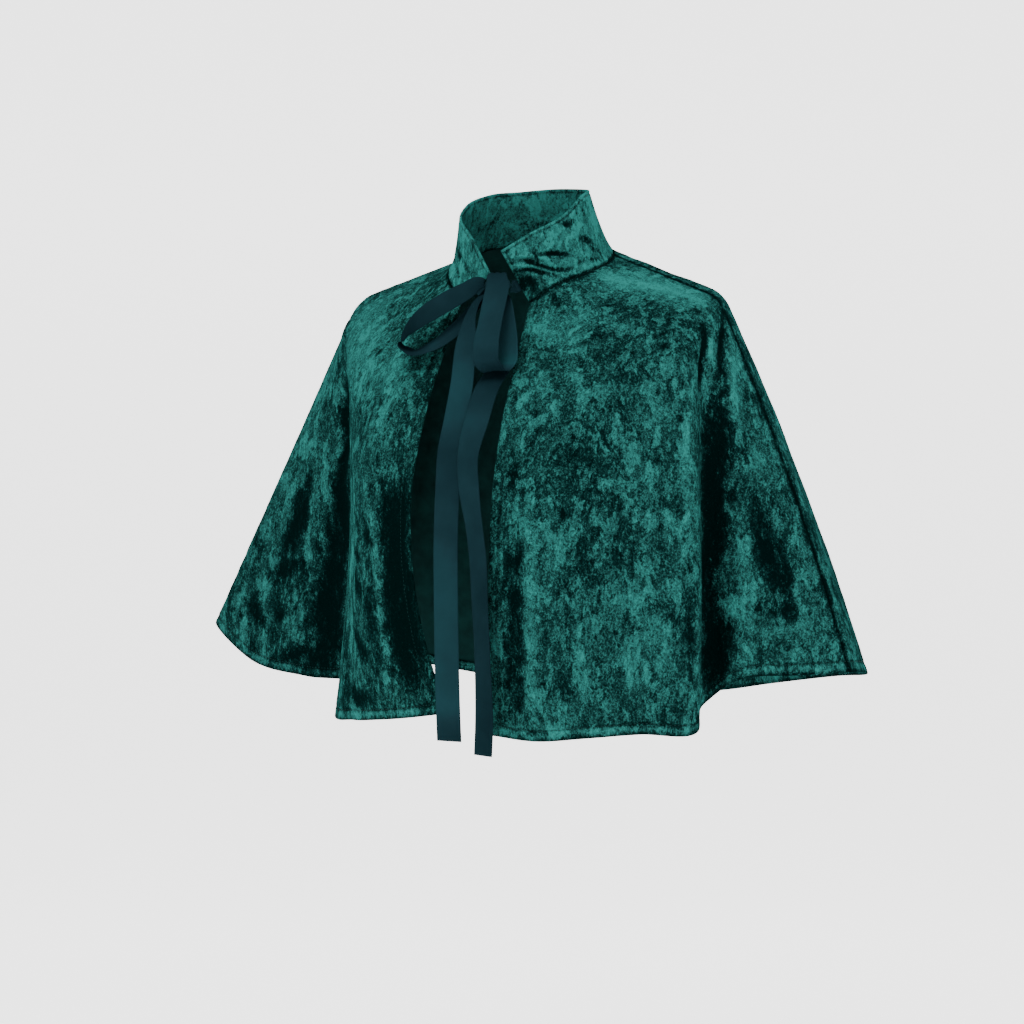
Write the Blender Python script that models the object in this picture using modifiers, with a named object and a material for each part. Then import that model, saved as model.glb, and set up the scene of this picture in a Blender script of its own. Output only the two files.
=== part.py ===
"""Capelet of crushed velvet: two fronts and a back that meet in shoulder and side seams, a stand
collar whose ends do not meet, and a satin ribbon tied in a bow under it. It keeps the hollow form
that it has when worn. The tables are in millimetres. +Z is up, the front faces -Y, the wearer's
left is +X, and the origin is the middle of the neckline, level with the shoulder points."""

import math

import bmesh
import bpy
import numpy as np

MM = 0.001
NAME = "capelet"

# Walls and seams
VELVET_WALL = 1.6
COLLAR_WALL = 2.6
RIBBON_WALL = 1.0
SEAM_GAP = 0.3
SEAM_STRIP = 2.5

# Neckline: an oval seen from above, that rises to the back and dips at the opening
NECK_HALF_WIDTH = 80.0
NECK_HALF_DEPTH = 75.0
NECK_SHIFT_X = -1.5
NECK_COLUMNS = ("angle", "height")
NECK_HEIGHTS = (
    (27, -47), (40, -34), (65, -20), (90, -9), (114, 1.4), (128, 8), (150, 13), (180, 15),
    (210, 15), (235, 13), (252, 6), (270, -4), (292, -13), (312, -26), (333, -41),
)

# Rows of the panel grids, from the neckline down
ROWS_TOP = 5
ROWS_BEND = 4
ROWS_HANG = 8
COLUMNS_PER_STEP = 3

# Fall lines of the cloth, from the left opening edge round the back to the right one. Each starts
# at an angle on the neckline (0 is the front, + towards the wearer's left), lies on the chest or
# shoulder down to its break, and hangs from there past a middle point to the hem. bend is how far
# the curve of the break reaches.
FALL_COLUMNS = (
    "name", "angle", "break_x", "break_y", "break_z", "bend",
    "mid_x", "mid_y", "mid_z", "hem_x", "hem_y", "hem_z",
)
LEFT_FRONT_FALLS = (
    ("edge", 27, 46, -146, -168, 60, 43, -156, -290, 44, -150, -439),
    ("bust", 40, 88, -142, -160, 60, 88, -160, -290, 90, -155, -441),
    ("outer bust", 54, 132, -122, -136, 55, 134, -150, -285, 139, -150, -436),
    ("outer front", 67, 168, -92, -106, 45, 176, -122, -270, 182, -128, -432),
    ("crest", 79, 192, -62, -76, 35, 217, -87, -250, 220, -90, -432),
    ("valley", 88, 198, -42, -62, 30, 208, -48, -250, 204, -44, -412),
    ("arm front", 96, 199, -26, -53, 24, 234, -34, -220, 240, -37, -387),
    ("arm", 105, 197, -12, -47, 18, 250, -16, -215, 284, -14, -384),
)
LEFT_SEAM_FALL = ("left seam", 114, 195, 2, -42, 14, 266, 4, -209, 323, 10, -381)
BACK_FALLS = (
    ("left back arm", 122, 191, 20, -37, 16, 262, 39, -212, 321, 47, -384),
    ("left elbow", 130, 181, 43, -44, 22, 244, 75, -215, 304, 95, -391),
    ("left back crest", 139, 166, 66, -62, 34, 214, 106, -225, 256, 136, -398),
    ("left back valley", 148, 142, 84, -82, 42, 168, 112, -235, 196, 128, -407),
    ("left blade", 158, 106, 98, -102, 50, 122, 124, -245, 136, 150, -418),
    ("left middle back", 169, 56, 106, -112, 52, 62, 122, -250, 70, 136, -425),
    ("centre back", 180, -1, 108, -114, 52, -1, 126, -250, -1, 148, -428),
    ("right middle back", 191, -58, 106, -112, 52, -66, 122, -250, -74, 136, -424),
    ("right blade", 202, -108, 98, -102, 50, -126, 124, -245, -142, 150, -416),
    ("right back valley", 212, -144, 84, -82, 42, -176, 112, -235, -206, 126, -404),
    ("right back crest", 221, -168, 66, -62, 34, -226, 104, -225, -276, 132, -392),
    ("right elbow", 230, -185, 44, -46, 22, -266, 76, -215, -338, 94, -380),
    ("right back arm", 238, -194, 22, -34, 16, -289, 40, -212, -372, 50, -370),
)
RIGHT_SEAM_FALL = ("right seam", 246, -197, 5, -35, 16, -296, 6, -214, -381, 12, -363)
RIGHT_FRONT_FALLS = (
    ("arm", 255, -197, -12, -48, 18, -262, -14, -215, -318, -12, -398),
    ("arm front", 264, -194, -28, -55, 24, -222, -30, -220, -240, -32, -408),
    ("valley", 272, -184, -44, -64, 30, -176, -42, -250, -178, -38, -412),
    ("crest", 281, -172, -60, -78, 35, -158, -75, -255, -180, -69, -440),
    ("outer front", 293, -146, -86, -102, 45, -138, -102, -260, -142, -96, -440),
    ("outer bust", 306, -114, -112, -126, 55, -110, -132, -265, -104, -118, -436),
    ("bust", 320, -76, -132, -146, 60, -82, -146, -265, -58, -137, -430),
    ("edge", 333, -39, -140, -158, 60, -42, -152, -250, -6, -144, -422),
)

# Collar: where each line of it leaves the neckline, and its point on the top edge
COLLAR_COLUMNS = ("name", "angle", "top_x", "top_y", "top_z")
COLLAR_LINES = (
    ("left end", 27, 16, -86, 1),
    ("left front", 44, 36, -69, 17),
    ("left side front", 65, 54, -40, 34),
    ("left side", 88, 61, -13, 55),
    ("left back side", 112, 54, 14, 62),
    ("left back", 145, 32, 37, 66),
    ("centre back", 180, -1, 45, 68),
    ("right back", 215, -34, 37, 66),
    ("right back side", 248, -56, 13, 62),
    ("right side", 272, -63, -14, 52),
    ("right side front", 292, -56, -41, 36),
    ("right front", 312, -30, -64, 17),
    ("right end", 333, 3, -85, -20),
)
COLLAR_ROWS = 4
COLLAR_HOLLOW = 3.2
COLLAR_FLARE = 0.15
COLLAR_GAP = 0.9

# Ribbon: the knot, and each strip by rows of its middle line. turn is the way its width points,
# from +X round +Z, and dip how far that way points down. At the knot, a strip's angle is from the
# front and its rise is from level.
KNOT_CENTRE = (16.0, -92.0, -31.0)
KNOT_HALF_SIZE = (13.0, 8.0, 8.5)
STRIP_COLUMNS = ("x", "y", "z", "turn", "dip", "width")
KNOT_COLUMNS = ("angle", "rise", "turn", "dip", "width")
STRIPS = {
    "bow_loop_left": {
        "from_knot": (175, 58, 0, 0, 16),
        "rows": (
            (17, -91.5, -20.3, 0, 0, 21), (19.5, -100, -22.5, 0, 0, 24), (22.5, -104, -32, 0, 0, 25),
            (23.8, -112, -48, 0, 0, 25), (24.4, -121, -67.5, 0, 0, 25), (25.9, -130, -86.7, 8, 0, 25),
            (28.8, -133, -102, 8, 0, 25), (33, -126, -109.3, 5, 0, 25), (35.5, -114, -103, 0, 0, 25),
            (33, -107, -86, 0, 0, 25), (29.7, -104, -67, 0, 0, 24), (26, -101, -49, 0, 0, 20),
        ),
        "to_knot": (45, -60, 0, 0, 12),
    },
    "bow_loop_right": {
        "from_knot": (-62, 10, -40, -42, 11),
        "rows": (
            (-3, -96, -30, -32, -45, 16), (-15.6, -100, -37, -27, -38, 22),
            (-36.9, -106, -48.5, -27, -35, 25), (-56.2, -110, -60.3, -35, -32, 25),
            (-70.7, -113, -74, -55, -25, 25), (-74.5, -114, -83.2, -60, -22, 25),
            (-65.8, -113, -90.8, -60, -15, 25), (-45, -108, -86, -52, -20, 25),
            (-27, -103, -74, -46, -26, 25), (-12, -97, -58, -42, -32, 20),
        ),
        "to_knot": (-95, -25, -40, -40, 7),
    },
    "ribbon_tail_left": {
        "from_knot": (-32, -50, -30, 0, 10),
        "rows": (
            (3.5, -102.5, -43, -32, 0, 13), (-1.5, -110.5, -58, -30, 0, 19), (-3, -115, -76, -18, 0, 24),
            (-1.8, -127, -123, -4, 0, 25), (-0.3, -140, -155, 0, 0, 25), (-1, -149, -182, 2, 0, 25),
            (0.3, -155, -214, 2, 0, 25), (0.7, -159, -263, 2, 0, 25), (1.5, -160, -317, 2, 0, 25),
            (2.2, -160, -366, 2, 0, 25), (3.6, -160, -415, 2, 0, 25), (4.9, -160, -445, 2, 0, 25),
        ),
        "to_knot": None,
    },
    "ribbon_tail_right": {
        "from_knot": (165, -66, 0, 0, 10),
        "rows": (
            (17.5, -90, -47, 0, 0, 16), (21, -94, -62, 0, 0, 23), (25, -100, -82, 0, 0, 25),
            (28, -109, -105, 0, 0, 25), (25.5, -127, -125, 3, 0, 25), (23, -142, -155, 3, 0, 25),
            (20.7, -154, -190, -12, 0, 25), (25.9, -160, -217, -14, 0, 25),
            (32.7, -163, -249, -22, 0, 25), (37.6, -165, -276, -22, 0, 25),
            (40.3, -166, -314, -24, 0, 25), (43.4, -167, -359, -26, 0, 25),
            (45.5, -167, -432, -20, 0, 25), (44.5, -167, -455, -20, 0, 25),
        ),
        "to_knot": None,
    },
}
STRIP_STEPS_PER_ROW = 2
STRIP_ACROSS = 2
TIE_WIDTH = 11.0
TIE_FREE = 3.0
# Each tie: angles at the knot, the collar columns that it is laid on, and how far up they are
TIE_COLUMNS = ("name", "angle", "rise", "columns", "up")
TIES = (("tie_left", 100, -8, (0, 1, 2), 0.34), ("tie_right", -150, 0, (-1, -2, -3), 0.42))


def named(row, columns):
    return dict(zip(columns, row))


def cubic(knots, values, place):
    """Reads a smooth cubic through values at knots. Each value may be a number or an array."""
    slopes = np.gradient(values, knots, axis=0)
    i = min(max(int(np.searchsorted(knots, place, side="right")) - 1, 0), len(knots) - 2)
    gap = knots[i + 1] - knots[i]
    t = (place - knots[i]) / gap
    return (
        values[i] * (1 + 2 * t) * (1 - t) ** 2
        + values[i + 1] * t * t * (3 - 2 * t)
        + gap * (slopes[i] * t * (1 - t) ** 2 - slopes[i + 1] * t * t * (1 - t))
    )


def neckline(angle):
    """The point of the neck seam at an angle in degrees from the front."""
    turn = math.radians(angle)
    angles, heights = np.array(NECK_HEIGHTS, float).T
    return np.array((
        NECK_SHIFT_X + NECK_HALF_WIDTH * math.sin(turn),
        -NECK_HALF_DEPTH * math.cos(turn),
        cubic(angles, heights, angle),
    ))


def fall_line(row):
    """The points of one fall line: over the body, round the break and down to the hem."""
    fall = named(row, FALL_COLUMNS)
    neck = neckline(fall["angle"])
    top, middle, hem = (
        np.array([fall[f"{part}_{axis}"] for axis in "xyz"], float) for part in ("break", "mid", "hem")
    )
    upper, lower = np.linalg.norm(middle - top), np.linalg.norm(hem - middle)
    share = upper / (upper + lower)

    def hanging(t):
        t = np.atleast_1d(t)[:, None]
        return (
            top * (t - share) * (t - 1) / share
            + middle * t * (t - 1) / (share * (share - 1))
            + hem * t * (t - share) / (1 - share)
        )

    reach = fall["bend"]
    start = top + (neck - top) * reach / np.linalg.norm(neck - top)
    bend_end = reach / (upper + lower)
    end = hanging(bend_end)[0]
    over = neck + (start - neck) * np.linspace(0, 1, ROWS_TOP + 1)[:, None]
    t = np.linspace(0, 1, ROWS_BEND + 1)[1:, None]
    bend = start * (1 - t) ** 2 + top * 2 * t * (1 - t) + end * t**2
    down = hanging(np.linspace(bend_end, 1, ROWS_HANG + 1)[1:])
    return np.vstack((over, bend, down))


def panel_grid(rows):
    """A smooth grid across the fall lines: a cubic through them, with knots at their mean distance.
    Returns it with the angle of each of its columns on the neckline."""
    lines = np.array([fall_line(row) for row in rows])
    angles = np.array([row[1] for row in rows], float)
    gaps = np.linalg.norm(np.diff(lines, axis=0), axis=2).mean(axis=1)
    knots = np.concatenate(([0.0], np.cumsum(gaps)))
    places = np.interp(
        np.arange(len(gaps) * COLUMNS_PER_STEP + 1) / COLUMNS_PER_STEP, np.arange(len(knots)), knots
    )
    grid = np.array([cubic(knots, lines, place) for place in places])
    turns = [cubic(knots, angles, place) for place in places]
    grid[:, 0] = [neckline(turn) for turn in turns]
    return grid, turns


def panel(grid, first, last):
    """The columns of a grid from first to last. At a seam, it ends half of the seam's gap short, in a
    narrow strip that lies along the surface there, so that both walls stand square to the seam."""

    def strip(seam, way, widths):
        along = (grid[seam + 1] - grid[seam - 1]) * way
        along /= np.linalg.norm(along, axis=1)[:, None]
        return [grid[seam] + along * width for width in widths]

    columns = list(grid[first : last + 1])
    if first > 0:
        columns[0:1] = strip(first, 1, (SEAM_GAP / 2, SEAM_STRIP))
    if last < len(grid) - 1:
        columns[-1:] = strip(last, -1, (SEAM_STRIP, SEAM_GAP / 2))
    return np.array(columns)


def new_collection():
    collection = bpy.data.collections.new(NAME)
    bpy.context.scene.collection.children.link(collection)
    return collection


def material(name, colour, roughness, sheen=0.0):
    made = bpy.data.materials.new(name)
    made.use_nodes = True
    shader = made.node_tree.nodes["Principled BSDF"]
    shader.inputs["Base Color"].default_value = (*colour, 1.0)
    shader.inputs["Roughness"].default_value = roughness
    shader.inputs["Metallic"].default_value = 0.0
    shader.inputs["Sheen Weight"].default_value = sheen
    return made


def surface(name, columns, look, collection, wall, offset=-1.0):
    """An open sheet through a grid of points, made a wall by Solidify."""
    mesh = bpy.data.meshes.new(name)
    count, rows = columns.shape[:2]
    faces = [
        (i * rows + j, i * rows + j + 1, (i + 1) * rows + j + 1, (i + 1) * rows + j)
        for i in range(count - 1)
        for j in range(rows - 1)
    ]
    mesh.from_pydata((columns.reshape(-1, 3) * MM).tolist(), [], faces)
    mesh.shade_smooth()
    mesh.materials.append(look)
    obj = bpy.data.objects.new(name, mesh)
    collection.objects.link(obj)
    solid = obj.modifiers.new("wall", "SOLIDIFY")
    solid.thickness = wall * MM
    solid.offset = offset
    return obj


def make_panels(collection, looks):
    """The two fronts and the back, cut from one smooth surface along the side seams."""
    rows = (
        *LEFT_FRONT_FALLS, LEFT_SEAM_FALL, *BACK_FALLS, RIGHT_SEAM_FALL, *RIGHT_FRONT_FALLS,
    )
    grid, turns = panel_grid(rows)
    left = len(LEFT_FRONT_FALLS) * COLUMNS_PER_STEP
    right = (len(LEFT_FRONT_FALLS) + 1 + len(BACK_FALLS)) * COLUMNS_PER_STEP
    parts = (("front_left", 0, left), ("back", left, right), ("front_right", right, len(grid) - 1))
    for name, first, last in parts:
        surface(name, panel(grid, first, last), looks["velvet"], collection, VELVET_WALL)
    return turns


def make_collar(collection, looks, turns):
    """The stand collar, from just above the neck seam to its top edge, with a column over each
    column of the panels."""
    rows = [named(row, COLLAR_COLUMNS) for row in COLLAR_LINES]
    angles = np.array([row["angle"] for row in rows], float)
    tops = np.array([[row[f"top_{axis}"] for axis in "xyz"] for row in rows], float)
    t = np.linspace(1, 0, COLLAR_ROWS + 1)[:, None]
    hollow = COLLAR_HOLLOW * (1 - np.exp(-t / COLLAR_FLARE)) * (1 - t**2)
    columns = []
    for turn in turns:
        low = neckline(turn) + np.array((0.0, 0.0, COLLAR_GAP))
        outward = np.array((low[0] - NECK_SHIFT_X, low[1], 0.0))
        outward /= np.linalg.norm(outward)
        columns.append(low + (cubic(angles, tops, turn) - low) * t - outward * hollow)
    grid = np.array(columns)
    surface("collar", grid, looks["collar"], collection, COLLAR_WALL)
    return grid


def on_knot(turn, rise, across):
    """A point just off the knot, at an angle from the front towards +X and one up, and the width
    direction given laid flat against the knot there."""
    turn, rise = math.radians(turn), math.radians(rise)
    way = np.array(
        (math.sin(turn) * math.cos(rise), -math.cos(turn) * math.cos(rise), math.sin(rise))
    )
    size = np.array(KNOT_HALF_SIZE)
    normal = way / size / np.linalg.norm(way / size)
    point = np.array(KNOT_CENTRE) + way * size + normal * (SEAM_GAP + RIBBON_WALL / 2)
    return point, across - normal * (across @ normal)


def across_way(turn, dip):
    turn, dip = math.radians(turn), math.radians(dip)
    return np.array(
        (math.cos(turn) * math.cos(dip), math.sin(turn) * math.cos(dip), math.sin(dip))
    )


def strip_grid(middle, across, width, steps):
    """A strip of ribbon along a smooth middle line, as wide as its rows say."""
    middle, across = np.array(middle, float), np.array(across, float)
    width = np.array(width, float)
    knots = np.concatenate(([0.0], np.cumsum(np.linalg.norm(np.diff(middle, axis=0), axis=1))))
    places = np.interp(np.arange((len(knots) - 1) * steps + 1) / steps, np.arange(len(knots)), knots)
    line = np.array([cubic(knots, middle, place) for place in places])
    way = np.array([cubic(knots, across, place) for place in places])
    wide = np.array([cubic(knots, width, place) for place in places])
    along = np.gradient(line, axis=0)
    along /= np.linalg.norm(along, axis=1)[:, None]
    way[1:-1] -= (along * (way * along).sum(axis=1)[:, None])[1:-1]
    way /= np.linalg.norm(way, axis=1)[:, None]
    sides = np.linspace(-0.5, 0.5, STRIP_ACROSS + 1)
    return line[:, None] + way[:, None] * (wide[:, None, None] * sides[None, :, None])


def make_strips(collection, looks):
    """The loops and tails of the bow. Each starts just off the knot, and a loop comes back to it."""
    for name, strip in STRIPS.items():
        rows = [named(row, STRIP_COLUMNS) for row in strip["rows"]]
        middle = [(row["x"], row["y"], row["z"]) for row in rows]
        across = [across_way(row["turn"], row["dip"]) for row in rows]
        width = [row["width"] for row in rows]
        for at, row in ((0, strip["from_knot"]), (len(rows) + 1, strip["to_knot"])):
            if row:
                knot = named(row, KNOT_COLUMNS)
                point, way = on_knot(knot["angle"], knot["rise"], across_way(knot["turn"], knot["dip"]))
                middle.insert(at, tuple(point))
                across.insert(at, way)
                width.insert(at, knot["width"])
        grid = strip_grid(middle, across, width, STRIP_STEPS_PER_ROW)
        surface(name, grid, looks["ribbon"], collection, RIBBON_WALL, 0.0)


def make_ties(collection, looks, collar):
    """The short strips that join the knot to the collar, laid against the collar's inner side."""
    along, up = np.gradient(collar, axis=0), -np.gradient(collar, axis=1)
    normal = np.cross(along, up)
    normal /= np.linalg.norm(normal, axis=2)[:, :, None]
    inner = collar - normal * (COLLAR_WALL + 2 * SEAM_GAP + RIBBON_WALL / 2)
    rows = np.arange(COLLAR_ROWS + 1.0)
    for row in TIES:
        tie = named(row, TIE_COLUMNS)
        place = (1 - tie["up"]) * COLLAR_ROWS
        laid = [cubic(rows, inner[column], place) for column in tie["columns"]]
        across = [cubic(rows, up[column], place) for column in tie["columns"]]
        across = [turned / np.linalg.norm(turned) for turned in across]
        start, way = on_knot(tie["angle"], tie["rise"], np.array((0.0, 0.0, 1.0)))
        free = laid[0] + (laid[0] - laid[1]) * TIE_FREE / np.linalg.norm(laid[0] - laid[1])
        grid = strip_grid(
            (start, (start + free) / 2, free, *laid[1:]),
            (way, way, *across),
            [TIE_WIDTH] * (len(laid) + 2),
            STRIP_STEPS_PER_ROW,
        )
        surface(tie["name"], grid, looks["ribbon"], collection, RIBBON_WALL, 0.0)


def make_knot(collection, looks):
    """The knot: the ribbon wound tight round the middle of the bow."""
    mesh = bpy.data.meshes.new("bow_knot")
    shape = bmesh.new()
    bmesh.ops.create_uvsphere(shape, u_segments=16, v_segments=10, radius=MM)
    bmesh.ops.scale(shape, vec=KNOT_HALF_SIZE, verts=shape.verts)
    shape.to_mesh(mesh)
    shape.free()
    mesh.shade_smooth()
    mesh.materials.append(looks["ribbon"])
    knot = bpy.data.objects.new("bow_knot", mesh)
    knot.location = [value * MM for value in KNOT_CENTRE]
    collection.objects.link(knot)


def main():
    for obj in list(bpy.data.objects):
        bpy.data.objects.remove(obj)
    collection = new_collection()
    looks = {
        "velvet": material("crushed velvet", (0.010, 0.115, 0.085), 0.45, 0.6),
        "collar": material("collar velvet", (0.012, 0.130, 0.095), 0.42, 0.6),
        "ribbon": material("satin ribbon", (0.008, 0.035, 0.045), 0.35),
    }
    turns = make_panels(collection, looks)
    collar = make_collar(collection, looks, turns)
    make_knot(collection, looks)
    make_strips(collection, looks)
    make_ties(collection, looks, collar)


main()
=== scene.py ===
"""Looks of the crushed velvet capelet: fine cloth on the frame's panels and collar, with folds,
crush marks, turned hems and stitches, and a satin ribbon bow. Tables are in millimetres, in the
frame's axes: +Z is up, the front faces -Y and the wearer's left is +X."""

import math

import bpy
import numpy as np
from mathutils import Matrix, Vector


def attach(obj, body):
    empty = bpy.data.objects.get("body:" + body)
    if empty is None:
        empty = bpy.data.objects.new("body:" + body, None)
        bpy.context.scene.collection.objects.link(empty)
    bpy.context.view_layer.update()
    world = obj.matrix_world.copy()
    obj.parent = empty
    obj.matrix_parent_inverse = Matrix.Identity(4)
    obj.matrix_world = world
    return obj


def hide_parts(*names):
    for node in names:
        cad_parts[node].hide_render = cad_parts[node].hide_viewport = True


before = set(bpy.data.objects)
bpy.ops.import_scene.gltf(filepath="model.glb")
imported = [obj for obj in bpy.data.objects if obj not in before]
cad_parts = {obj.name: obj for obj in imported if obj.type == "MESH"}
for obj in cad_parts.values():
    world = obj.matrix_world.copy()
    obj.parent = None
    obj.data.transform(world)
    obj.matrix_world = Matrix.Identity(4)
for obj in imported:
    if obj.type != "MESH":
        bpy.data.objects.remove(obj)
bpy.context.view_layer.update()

MM = 0.001

# Cloth
VELVET = 1.3
HEM_BAND = 10.0
TURNED_BAND = HEM_BAND + 1.0
TURNED_STEP = 1.5
HEM_THICKNESS = 2.4
EDGE_WALL = 0.12
SEAM_GAP = 0.06
TIE_GAP = 0.3
SEAM_ROLL = 1.6
COLLAR_THICKNESS = 2.6
COLLAR_WALL = 0.3
COLLAR_BAND = 3.2
COLLAR_INSIDE_LIFT = 0.4
RIBBON_THICKNESS = 0.5

# What sewing does to the cloth along a line: how high, or how much lighter or darker it is
# painted, and how far it reaches. The shades are painted shade in seams, edges and stitch grooves,
# and HEM_LIGHT is a painted highlight on the turned hem.
HEM_GROOVE = (0.55, 1.1)
HEM_PUCKER, HEM_PUCKER_SIZE = (0.45, 7), 7.5
SEAM_PUCKER, SEAM_PUCKER_SIZE = (0.35, 5), 6.5
PUCKER_START = 1.5
PANEL_CALM = (1, 9)
NECK_SHADE = (-0.40, 2.4)
SEAM_SHADE = (-0.45, 2.4)
EDGE_SHADE = (-0.05, 2.4)
HEM_SHADE = (-0.28, 2.2)
STITCH_SHADE = (-0.16, 1.3)
HEM_LIGHT, HEM_LIGHT_UP = (0.10, 2.4), 6.0
COLLAR_GROOVE = (0.5, 0.9)
COLLAR_CALM = (1, 7)
COLLAR_NECK_SHADE = (-0.40, 2.0)
COLLAR_STITCH_SHADE = (-0.22, 1.0)

# Crush marks: how high or how light, and about how far apart
LARGE_MARKS, SMALL_MARKS, FINE_MARKS = (0.55, 34), (0.45, 15), (0.22, 8)
MARK_SWIRL = (7, 20)
MARK_STRETCH = (1.0, 1.0, 0.6)
TONE_MARKS, TONE_STREAKS = (0.03, 60), (0.09, 15)
STREAK_STRETCH = (1.0, 1.0, 0.16)
LOW_FROM, LOW_FULL, LOW_LIGHT = 170, 300, 0.03
COLLAR_CRUSH = 0.55

# Stitches
STITCH_LENGTH, STITCH_SPACE = 2.5, 1.1
STITCH_RADIUS, STITCH_SIDES = 0.2, 6
STITCH_PROFILE = (0.35, 0.9, 1.0, 0.9, 0.35)
STITCH_RISE, STITCH_SUNK = 0.28, 0.12
STITCHES_FROM_NECK, STITCHES_FROM_END = 2, 4

# The panels' fall lines, as the frame's solids have them
NECK_HALF_WIDTH = 80.0
NECK_HALF_DEPTH = 75.0
NECK_SHIFT_X = -1.5
NECK_HEIGHTS = (
    (27, -47), (40, -34), (65, -20), (90, -9), (114, 1.4), (128, 8), (150, 13), (180, 15),
    (210, 15), (235, 13), (252, 6), (270, -4), (292, -13), (312, -26), (333, -41),
)
FALL_COLUMNS = (
    "name", "angle", "break_x", "break_y", "break_z", "bend",
    "mid_x", "mid_y", "mid_z", "hem_x", "hem_y", "hem_z",
)
LEFT_FRONT_FALLS = (
    ("edge", 27, 46, -146, -168, 60, 43, -156, -290, 44, -150, -439),
    ("bust", 40, 88, -142, -160, 60, 88, -160, -290, 90, -155, -441),
    ("outer bust", 54, 132, -122, -136, 55, 134, -150, -285, 139, -150, -436),
    ("outer front", 67, 168, -92, -106, 45, 176, -122, -270, 182, -128, -432),
    ("crest", 79, 192, -62, -76, 35, 217, -87, -250, 220, -90, -432),
    ("valley", 88, 198, -42, -62, 30, 208, -48, -250, 204, -44, -412),
    ("arm front", 96, 199, -26, -53, 24, 234, -34, -220, 240, -37, -387),
    ("arm", 105, 197, -12, -47, 18, 250, -16, -215, 284, -14, -384),
)
LEFT_SEAM_FALL = ("left seam", 114, 195, 2, -42, 14, 266, 4, -209, 323, 10, -381)
BACK_FALLS = (
    ("left back arm", 122, 191, 20, -37, 16, 262, 39, -212, 321, 47, -384),
    ("left elbow", 130, 181, 43, -44, 22, 244, 75, -215, 304, 95, -391),
    ("left back crest", 139, 166, 66, -62, 34, 214, 106, -225, 256, 136, -398),
    ("left back valley", 148, 142, 84, -82, 42, 168, 112, -235, 196, 128, -407),
    ("left blade", 158, 106, 98, -102, 50, 122, 124, -245, 136, 150, -418),
    ("left middle back", 169, 56, 106, -112, 52, 62, 122, -250, 70, 136, -425),
    ("centre back", 180, -1, 108, -114, 52, -1, 126, -250, -1, 148, -428),
    ("right middle back", 191, -58, 106, -112, 52, -66, 122, -250, -74, 136, -424),
    ("right blade", 202, -108, 98, -102, 50, -126, 124, -245, -142, 150, -416),
    ("right back valley", 212, -144, 84, -82, 42, -176, 112, -235, -206, 126, -404),
    ("right back crest", 221, -168, 66, -62, 34, -226, 104, -225, -276, 132, -392),
    ("right elbow", 230, -185, 44, -46, 22, -266, 76, -215, -338, 94, -380),
    ("right back arm", 238, -194, 22, -34, 16, -289, 40, -212, -372, 50, -370),
)
RIGHT_SEAM_FALL = ("right seam", 246, -197, 5, -35, 16, -296, 6, -214, -381, 12, -363)
RIGHT_FRONT_FALLS = (
    ("arm", 255, -197, -12, -48, 18, -262, -14, -215, -318, -12, -398),
    ("arm front", 264, -194, -28, -55, 24, -222, -30, -220, -240, -32, -408),
    ("valley", 272, -184, -44, -64, 30, -176, -42, -250, -178, -38, -412),
    ("crest", 281, -172, -60, -78, 35, -158, -75, -255, -180, -69, -440),
    ("outer front", 293, -146, -86, -102, 45, -138, -102, -260, -142, -96, -440),
    ("outer bust", 306, -114, -112, -126, 55, -110, -132, -265, -104, -118, -436),
    ("bust", 320, -76, -132, -146, 60, -82, -146, -265, -58, -137, -430),
    ("edge", 333, -39, -140, -158, 60, -42, -152, -250, -6, -144, -422),
)
FALLS = (*LEFT_FRONT_FALLS, LEFT_SEAM_FALL, *BACK_FALLS, RIGHT_SEAM_FALL, *RIGHT_FRONT_FALLS)
LEFT_SEAM = len(LEFT_FRONT_FALLS)
RIGHT_SEAM = LEFT_SEAM + 1 + len(BACK_FALLS)
SAMPLES_TOP, SAMPLES_BEND, SAMPLES_HANG = 50, 40, 120

# How finely the cloth is drawn
FRONT_COLUMNS_PER_GAP = 24
BACK_COLUMNS_PER_GAP = 16
ROWS_BETWEEN = 144
NECK_ROWS = (0, 0.4, 0.9, 1.6, 2.6, 4.0)
HEM_ROWS = (14, 12, 11, 10.5, 10, 9.5, 9, 8, 6, 4, 2.4, 1.4, 0.7, 0.25, 0)
SEAM_PLACES = (0, 0.02, 0.045, 0.08, 0.12, 0.17, 0.23)
SEAM_CLEAR = 0.02
EDGE_ROW = 60

# The collar's top edge, as the frame's solid has it, by angle and place
COLLAR_LINES = (
    ("left end", 27, 16, -86, 1),
    ("left front", 44, 36, -69, 17),
    ("left side front", 65, 54, -40, 34),
    ("left side", 88, 61, -13, 55),
    ("left back side", 112, 54, 14, 62),
    ("left back", 145, 32, 37, 66),
    ("centre back", 180, -1, 45, 68),
    ("right back", 215, -34, 37, 66),
    ("right back side", 248, -56, 13, 62),
    ("right side", 272, -63, -14, 52),
    ("right side front", 292, -56, -41, 36),
    ("right front", 312, -30, -64, 17),
    ("right end", 333, 3, -85, -20),
)
COLLAR_HOLLOW = 3.2
COLLAR_FLARE = 0.15
COLLAR_GAP = 0.9
COLLAR_GRID_COLUMNS = 421
COLLAR_FINE_SHARE = 0.06
COLLAR_ROWS = (6, 60, 8)
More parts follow.
